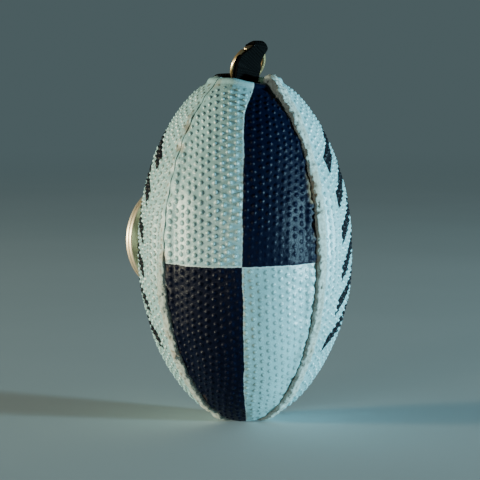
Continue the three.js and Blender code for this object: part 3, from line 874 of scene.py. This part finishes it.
def seam_stitches(name, middle, seed):
    """A running stitch along the valley: the thread comes up at each pucker and dives between."""
    line, out, along = outline_between(THREAD_ROWS, THREAD_LAST, THREAD_HEIGHTS)
    phase = np.abs((along / STITCH_PITCH + 0.5) % 1 - 0.5) * STITCH_PITCH
    up = smoothstep(1.3, 0.5, phase)
    depth = THREAD_DEPTH - THREAD_RISE * up
    sway = 0.15 * np.sin(2 * math.pi * along / (2 * STITCH_PITCH) + seed) * up
    r = line[:, 0] - out[:, 0] * depth
    z = line[:, 1] - out[:, 1] * depth
    cos, sin = math.cos(middle), math.sin(middle)
    path = np.stack([r * cos - sway * sin, r * sin + sway * cos, z], 1)
    return sweep(name, path, (-sin, cos, 0.0), round_section(THREAD_RADIUS, plies=2), seam_thread)


for i, (name, middle) in enumerate(SEAMS):
    thread = seam_stitches(f"{name}_stitches", math.radians(middle), 1.7 * i)
    stands_for(thread, "ball", "thread", f"{name}_seam_thread")

# ---- the hardware's places, in mm

HARDWARE_X = 1.2  # the loop leans over to here, where it holds the jump ring
RING_PIVOT = np.array([-1.6, 87.3])  # Y and Z of the wire inside the loop's fold
RING_RADIUS = 4.5
RING_WIRE = 0.6
RING_LEAN = math.radians(25)
SPLIT_X = -0.5
SPLIT_PIVOT = np.array([27.1, 52.5])  # Y and Z of the band's middle in the strap's lower eye

# ---- inside: linings and stuffing

LINING_FACES = (1.45, 1.8)  # depths below the crown
LINING_MARGIN = 2.0  # from the seam's plane
LINING_ROWS, LINING_LAST, LINING_COLUMNS = 90, 80, 40
LINING_HEIGHTS = (4.5, 74)
STUFFING_RADIUS = 21.0
STUFFING_HEIGHTS = (3.4, 71.8)
STUFFING_ROWS, STUFFING_COLUMNS = 90, 120
COVER_HEIGHT = 76.5
COVER_THICKNESS = 0.45
COVER_RADIUS = 6.8
COVER_SLOT = (3.9, 1.1)  # half its length and width
COVER_ROWS, COVER_COLUMNS = 30, 144


def make_lining(name, middle, seed):
    """A panel's woven backing: two faces, joined round their border."""
    line, out, along = outline_between(LINING_ROWS, LINING_LAST, LINING_HEIGHTS, 4.0)
    share = np.linspace(-1, 1, LINING_COLUMNS)[None]
    faces = []
    for depth in LINING_FACES:
        angle = (EDGE - LINING_MARGIN / line[:, :1]) * share
        wave = 0.05 * value_noise(line[:, :1] * angle / 3, along[:, None] / 3, seed)
        fall = depth + 0.5 * np.abs(share) ** 6 + wave
        r = line[:, :1] - out[:, :1] * fall
        z = line[:, 1:] - out[:, 1:] * fall
        faces.append(turned(r, angle + middle, z))
    around = np.concatenate([faces[0], faces[1][:, ::-1]], 1)
    rows, n = around.shape[:2]
    c = np.arange(LINING_COLUMNS - 1)
    low = np.stack([c + 1, c, n - 1 - c, n - 2 - c], 1)
    high = low[:, [1, 0, 3, 2]] + (rows - 1) * n
    quads = np.concatenate([grid_quads(rows, n, wrap_columns=True), low, high])
    return make_mesh(name, around, quads, lining_cloth)


for i, panel in enumerate(PANELS):
    name = panel["name"]
    lining = make_lining(f"{name}_backing", math.radians(panel["middle"]), 20.0 + i)
    stands_for(lining, "ball", "lining", f"{name}_lining")


def make_stuffing():
    """The lumpy ball of fibre."""
    rows, columns = STUFFING_ROWS, STUFFING_COLUMNS
    lowest, highest = STUFFING_HEIGHTS
    angle = np.radians(np.linspace(-89, 89, rows))[:, None]
    theta = full_turn(columns)[None]
    cos, sin = np.cos(theta), np.sin(theta)
    reach = np.where(angle < 0, EQUATOR - lowest, highest - EQUATOR)
    radius = STUFFING_RADIUS * np.cos(angle) ** (2 * POINTEDNESS)
    lump = value_noise(4 * cos + 9, 4 * sin + angle * 6, 31.0)
    tuft = value_noise(11 * cos + 3, 11 * sin + angle * 16, 33.0)
    radius = radius * (0.985 + 0.018 * lump + 0.008 * tuft)
    z = EQUATOR + reach * np.sin(angle) * np.ones_like(theta)
    points = turned(radius, theta, z).reshape(-1, 3)
    points = np.concatenate([points, [[0, 0, z[0, 0]], [0, 0, z[-1, 0]]]])
    c = np.arange(columns)
    d = (c + 1) % columns
    first, last = np.full(columns, rows * columns), np.full(columns, rows * columns + 1)
    top = (rows - 1) * columns
    low = np.stack([d, c, first, first], 1)
    high = np.stack([top + c, top + d, last, last], 1)
    quads = np.concatenate([grid_quads(rows, columns, wrap_columns=True), low, high])
    return make_mesh("stuffing_fibre", points, quads, fibre)


stuffing = make_stuffing()
stands_for(stuffing, "ball", "stuffing", "stuffing")


def make_cover():
    """The gathered disc in the mouth, with folds that run to its slot."""
    theta = full_turn(COVER_COLUMNS)[None]
    share = np.linspace(0, 1, COVER_ROWS)[:, None]
    half_length, half_width = COVER_SLOT
    slot = 1 / np.sqrt((np.cos(theta) / half_length) ** 2 + (np.sin(theta) / half_width) ** 2)
    shift = RING_PIVOT[0] * (1 - share)
    radius = slot + (COVER_RADIUS - slot) * share
    fold = 0.16 * np.cos(22 * theta + 1.5 * np.sin(3 * theta)) * np.sin(math.pi * share)
    faces = []
    for drop in (0.0, COVER_THICKNESS):
        z = COVER_HEIGHT - drop - 0.8 * share**1.5 + fold
        x, y = radius * np.cos(theta), radius * np.sin(theta) + shift
        faces.append(np.stack([x, y, z], -1))
    around = np.concatenate([faces[0], faces[1][::-1]], 0)
    quads = grid_quads(2 * COVER_ROWS, COVER_COLUMNS, wrap_rows=True, wrap_columns=True)
    return make_mesh("mouth_gather", around, quads, lining_cloth)


cover = make_cover()
face_outwards(cover)
stands_for(cover, "ball", "lining", "mouth_cover")

# ---- webbing loop and its whipping

BAND_STEP = 0.22
LOOP_PLY = 0.7
LOOP_EYE = 0.8
LOOP_SLIT = 0.12  # half the gap between the plies
LOOP_FOOT = 73.6
LOOP_WIDTH = 7.2
LOOP_LEAN = ((74, 79, 82.4, 84.7, 87, 89), (-1.5, -1.5, -0.9, 0.6, 2.2, 2.6))  # heights, X
WHIPPING_TURNS, WHIPPING_STEPS = 4.5, 60
WHIPPING_HALF = (3.9, 1.25)
WHIPPING_X = -1.3
WHIPPING_FOOT, WHIPPING_RISE = 77.9, 1.5


def circle_points(centre, radius, angles):
    """Points at angles in degrees round a centre."""
    turns = [math.radians(angle) for angle in angles]
    return [centre + radius * np.array([math.cos(a), math.sin(a)]) for a in turns]


def band_piece(name, path, widths, thickness):
    """A woven band of changing width, which lies along X, with its weave's coordinates."""
    sections = [
        rounded_rectangle(width / 2, thickness / 2, thickness * 0.45, crown=0.04)
        for width in widths
    ]
    piece = sweep(name, path, (1.0, 0, 0), lambda i, share, length: sections[i], webbing)
    wide = [section[:, 0] for section in sections]
    attribute(piece, "wide_mm", np.concatenate([*wide, np.zeros(2)]))
    face_outwards(piece)
    return piece


def loop_path():
    """Up one ply, round the jump ring's wire and down the other, at the middle of the band."""
    gap = LOOP_SLIT + LOOP_PLY / 2
    up = [(-gap, LOOP_FOOT), (-gap, 77), (-gap, 80), (-gap, 83), (-gap - 0.1, 85)]
    down = [(-y, z) for y, z in up[::-1]]
    top = np.array([0.0, RING_PIVOT[1]])
    fold = circle_points(top, LOOP_EYE + LOOP_PLY / 2, (215, 180, 140, 100, 80, 40, 0, -35))
    return resampled([(0.0, RING_PIVOT[0] + y, z) for y, z in [*up, *fold, *down]], BAND_STEP)


path = loop_path()
height = path[:, 2]
widths = LOOP_WIDTH - 2.6 * smoothstep(83.0, 86.5, height) - 1.7 * smoothstep(87.2, 88.7, height)
path[:, 0] += np.interp(height, *LOOP_LEAN)
loop = band_piece("webbing_loop", path, widths, LOOP_PLY)
stands_for(loop, "ball", "webbing", "anchor_loop")


def whipping_path():
    """A helix round the loop's foot, squarer than an ellipse."""
    half_length, half_width = WHIPPING_HALF
    count = int(WHIPPING_TURNS * WHIPPING_STEPS)
    found = []
    for i in range(count + 1):
        a = 2 * math.pi * i / WHIPPING_STEPS
        cos, sin = math.cos(a), math.sin(a)
        x = half_length * math.copysign(abs(cos) ** 0.45, cos) + WHIPPING_X
        y = half_width * math.copysign(abs(sin) ** 0.6, sin) + RING_PIVOT[0]
        found.append((x, y, WHIPPING_FOOT + WHIPPING_RISE * i / count))
    return np.array(found)


whipping = sweep(
    "loop_whipping", whipping_path(), (0, 0, 1.0), round_section(0.2, plies=2), black_thread
)
face_outwards(whipping)
stands_for(whipping, "ball", "webbing", "anchor_whipping")

# ---- jump ring

CUT_ANGLE = math.radians(35)  # of the cut in the wire, from the fold
CUT_HALF = math.radians(3)
RING_STEPS = 160
RING_SIDES = 20


def ring_path():
    start = CUT_ANGLE + CUT_HALF
    angle = np.linspace(start, CUT_ANGLE - CUT_HALF + 2 * math.pi, RING_STEPS)
    down = RING_RADIUS * (1 - np.cos(angle))
    return np.stack([
        HARDWARE_X - RING_RADIUS * np.sin(angle),
        RING_PIVOT[0] + down * math.sin(RING_LEAN),
        RING_PIVOT[1] - down * math.cos(RING_LEAN),
    ], 1)


def wire_section(i, share, length):
    """Round, with the cut's edges taken off."""
    from_end = min(share, 1 - share) * RING_STEPS
    radius = RING_WIRE * (1 - 0.12 * max(0.0, 1 - from_end))
    return turned(radius, full_turn(RING_SIDES))


ring_normal = (0.0, math.cos(RING_LEAN), math.sin(RING_LEAN))
ring = sweep("jump_ring_wire", ring_path(), ring_normal, wire_section, gold_wire)
face_outwards(ring)
stands_for(ring, "jump_ring", "gold", "jump_ring")

# ---- strap

STRAP_THICK = 0.6
STRAP_LIFT = 0.75  # from the ball's outline to the strap's middle
STRAP_HEIGHTS = (78.4, 75.5, 72, 68, 63.5, 58.5)
STRAP_TAIL = ((25.9, 56.3), (24.3, 57.6), (23.45, 59.1), (22.6, 61.6), (21.75, 63.8))
STRAP_WIDTH = 6.2
NECK_WIDTH = 3.0
NECK_ENDS = (7.5, 11.5)  # along the strap, where the neck widens
UPPER_EYE, LOWER_EYE = 1.15, 2.3
LIP_LIFT = 0.5
TAIL_LENGTH = 12
TACK_LENGTH, TACK_WIDTH, TACK_TURNS = 4.6, 1.1, 26
TACK_LIFT = 0.08

STRAP_PIVOT = RING_PIVOT + 2 * RING_RADIUS * np.array([math.sin(RING_LEAN), -math.cos(RING_LEAN)])


def strap_path():
    """Round the jump ring, over the lip, down the shoulder, round the split ring and back up."""
    points = circle_points(STRAP_PIVOT, UPPER_EYE, (40, -10, -60, -110, -160, -210, -250))
    points.append(STRAP_PIVOT + np.array([1.0, 1.75]))
    points += circle_points(LIP_CENTRE, LIP_RADIUS + LIP_LIFT, (100, 45))
    for height in STRAP_HEIGHTS:
        above, below = float(crown_radius(height + 0.5)), float(crown_radius(height - 0.5))
        run = unit(np.array([above - below, 1.0]))
        out = np.array([run[1], -run[0]])
        points.append(np.array([float(crown_radius(height)), height]) + STRAP_LIFT * out)
    eye = LOWER_EYE + STRAP_THICK / 2
    points += circle_points(SPLIT_PIVOT, eye, (195, 235, 280, 325, 10, 55, 95))
    points += STRAP_TAIL
    drop = STRAP_PIVOT[1] - SPLIT_PIVOT[1]
    share = [np.clip((STRAP_PIVOT[1] - z) / drop, 0, 1) for y, z in points]
    line = [(HARDWARE_X + (SPLIT_X - HARDWARE_X) * k, *point) for k, point in zip(share, points)]
    return resampled(line, BAND_STEP)


path = strap_path()
along = running_length(path)
widths = NECK_WIDTH + (STRAP_WIDTH - NECK_WIDTH) * smoothstep(*NECK_ENDS, along)
from_pivot = np.linalg.norm(path[:, 1:] - SPLIT_PIVOT, axis=1)
in_eye = np.exp(-(((from_pivot - 2.7) / 1.1) ** 2)) * (along > 20)
strap = band_piece("strap_webbing", path, widths - 0.9 * in_eye, STRAP_THICK)
stands_for(strap, "strap", "webbing", "strap", "strap_neck")


def bar_tack(name, middle, run):
    """Close zigzag stitches across the band."""
    run = unit(np.array([0.0, *run]))
    side = np.array([1.0, 0, 0])
    out = np.cross(side, run)
    out = -out if out[1] < 0 else out
    lift = STRAP_THICK / 2 + TACK_LIFT
    points = []
    for i in range(TACK_TURNS + 1):
        x = -TACK_LENGTH / 2 + TACK_LENGTH * i / TACK_TURNS
        y = TACK_WIDTH / 2 * (1 if i % 2 else -1)
        points.append(middle + side * x + run * y + out * lift)
        if i < TACK_TURNS:
            points.append(middle + side * (x + TACK_LENGTH / TACK_TURNS / 2) + out * (lift + 0.06))
    tack = sweep(name, resampled(points, 0.12), out, round_section(0.13, 6), black_thread)
    face_outwards(tack)
    return tack


for place in ("upper", "lower"):
    low, high = (Vector(corner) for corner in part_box(f"strap_{place}_tack"))
    away = np.linalg.norm(path - np.array((low + high) / 2) / MM, axis=1)
    if place == "upper":
        away = away + 100 * (along > along[-1] - TAIL_LENGTH)
    near = np.argmin(away)
    run = path[min(near + 3, len(path) - 1)] - path[max(near - 3, 0)]
    tack = bar_tack(f"{place}_tack_stitches", path[near], run[1:])
    stands_for(tack, "strap", "webbing", f"strap_{place}_tack")

# ---- split ring

SPLIT_OUTER = 13.0
SPLIT_BAND = 3.0
SPLIT_STRIP = 1.0
SPLIT_GAP = 0.1  # between the two turns
SPLIT_JOG = math.radians(15)  # half the arc where the strip steps across
SPLIT_END = math.radians(3)
SPLIT_STEPS = 420


def split_path():
    """Two turns of the strip, with the direction away from the ring's centre at each point."""
    middle = SPLIT_OUTER - SPLIT_BAND / 2
    centre = SPLIT_PIVOT[1] - middle
    start = SPLIT_JOG + SPLIT_END
    angle = start + np.linspace(0, 1, SPLIT_STEPS) * (4 * math.pi - 2 * start)
    eased = smoothstep(0, 1, (angle - (2 * math.pi - SPLIT_JOG)) / (2 * SPLIT_JOG))
    y = SPLIT_PIVOT[0] + (SPLIT_STRIP + SPLIT_GAP) / 2 * (2 * eased - 1)
    line = np.stack([SPLIT_X + middle * np.sin(angle), y, centre - middle * np.cos(angle)], 1)
    return line, np.stack([np.sin(angle), np.zeros_like(angle), -np.cos(angle)], 1)


STRIP = rounded_rectangle(SPLIT_BAND / 2, SPLIT_STRIP / 2, 0.28, per_corner=5, crown=0.05)


def strip_section(i, share, length):
    """The strip, a little smaller at its ends."""
    from_end = min(share, 1 - share) * SPLIT_STEPS
    return STRIP * (1 - 0.10 * max(0.0, 1 - from_end / 2))


path, outward = split_path()
split = sweep("split_ring_band", path, outward, strip_section, gold_band)
attribute(split, "wide_mm", np.concatenate([np.tile(STRIP[:, 0], len(path)), np.zeros(2)]))
face_outwards(split)
stands_for(split, "split_ring", "gold", "split_ring")

# ---- floor, backdrop and lights

HORIZON = (0.076, 0.114, 0.121)
ZENITH = (0.03, 0.035, 0.038)
FLOOR_DARK, FLOOR_LIGHT = (0.66, 0.74, 0.75), (0.70, 0.78, 0.79)
FLOOR_FADE = (0.2, 1.2)  # metres out, over which the floor's glow rises from 0.3 to full and the floor turns into the horizon's colour; the glow near the ball is painted light from below

s = Surface("floor")
s.set(Base_Color=s.mix(s.band(s.noise(9, 3), 0.3, 0.7), FLOOR_DARK, FLOOR_LIGHT), Roughness=0.8)
far = s.node("VectorMath", {0: s.place}, operation="LENGTH")["Value"]
# Painted light: the floor glows even next to the ball and lights it from below, though it is no
# lamp.
glow = s.node("Emission", {0: HORIZON})[0]
floor_glow_share = s.band(far, *FLOOR_FADE, 0.3, 1.0)
both = s.node("MixShader", {0: floor_glow_share, 1: s.shader.outputs[0], 2: glow})[0]
put(s.tree, s.output.inputs[0], both)
bpy.ops.mesh.primitive_plane_add(size=40, location=(0, 0, -0.0002))
floor = bpy.context.object
floor.name = "floor"
floor.data.materials.append(s.material)

world = bpy.data.worlds.new("studio")
world.use_nodes = True
sky = world.node_tree
place = add_node(sky, "TexCoord", {})["Generated"]
height = add_node(sky, "SeparateXYZ", {0: place})[2]
rise = add_node(sky, "MapRange", {"Value": height, "From Min": 0.12, "From Max": 0.8})["Result"]
colour = add_node(sky, "Mix", {0: rise, 6: HORIZON, 7: ZENITH}, data_type="RGBA")[2]
background = sky.nodes["Background"]
put(sky, background.inputs[0], colour)
background.inputs[1].default_value = 1.0
bpy.context.scene.world = world

camera_right = Vector((math.cos(CAMERA_AZIMUTH), math.sin(CAMERA_AZIMUTH), 0))
towards = Vector((back.x, back.y, 0)).normalized()


def area_light(name, right, front, up, size, power, colour):
    """A soft disc, placed from the camera's target: to the camera's right, towards it and up."""
    data = bpy.data.lights.new(name, "AREA")
    data.shape = "DISK"
    data.size = size
    data.energy = power
    data.color = colour
    light = bpy.data.objects.new(name, data)
    light.location = CAMERA_TARGET + camera_right * right + towards * front + Vector((0, 0, up))
    aim = light.location - CAMERA_TARGET
    light.rotation_euler = aim.to_track_quat("Z", "Y").to_euler()
    bpy.context.scene.collection.objects.link(light)


area_light("key", 0.82, 0.24, 0.02, 0.08, 20.0, (0.46, 0.85, 1.0))
area_light("warm_side", -0.96, 0.10, 0.03, 0.12, 14.5, (1.0, 0.95, 0.68))
area_light("low_front", -0.45, 0.62, 0.01, 0.08, 1.3, (1.0, 0.97, 0.88))
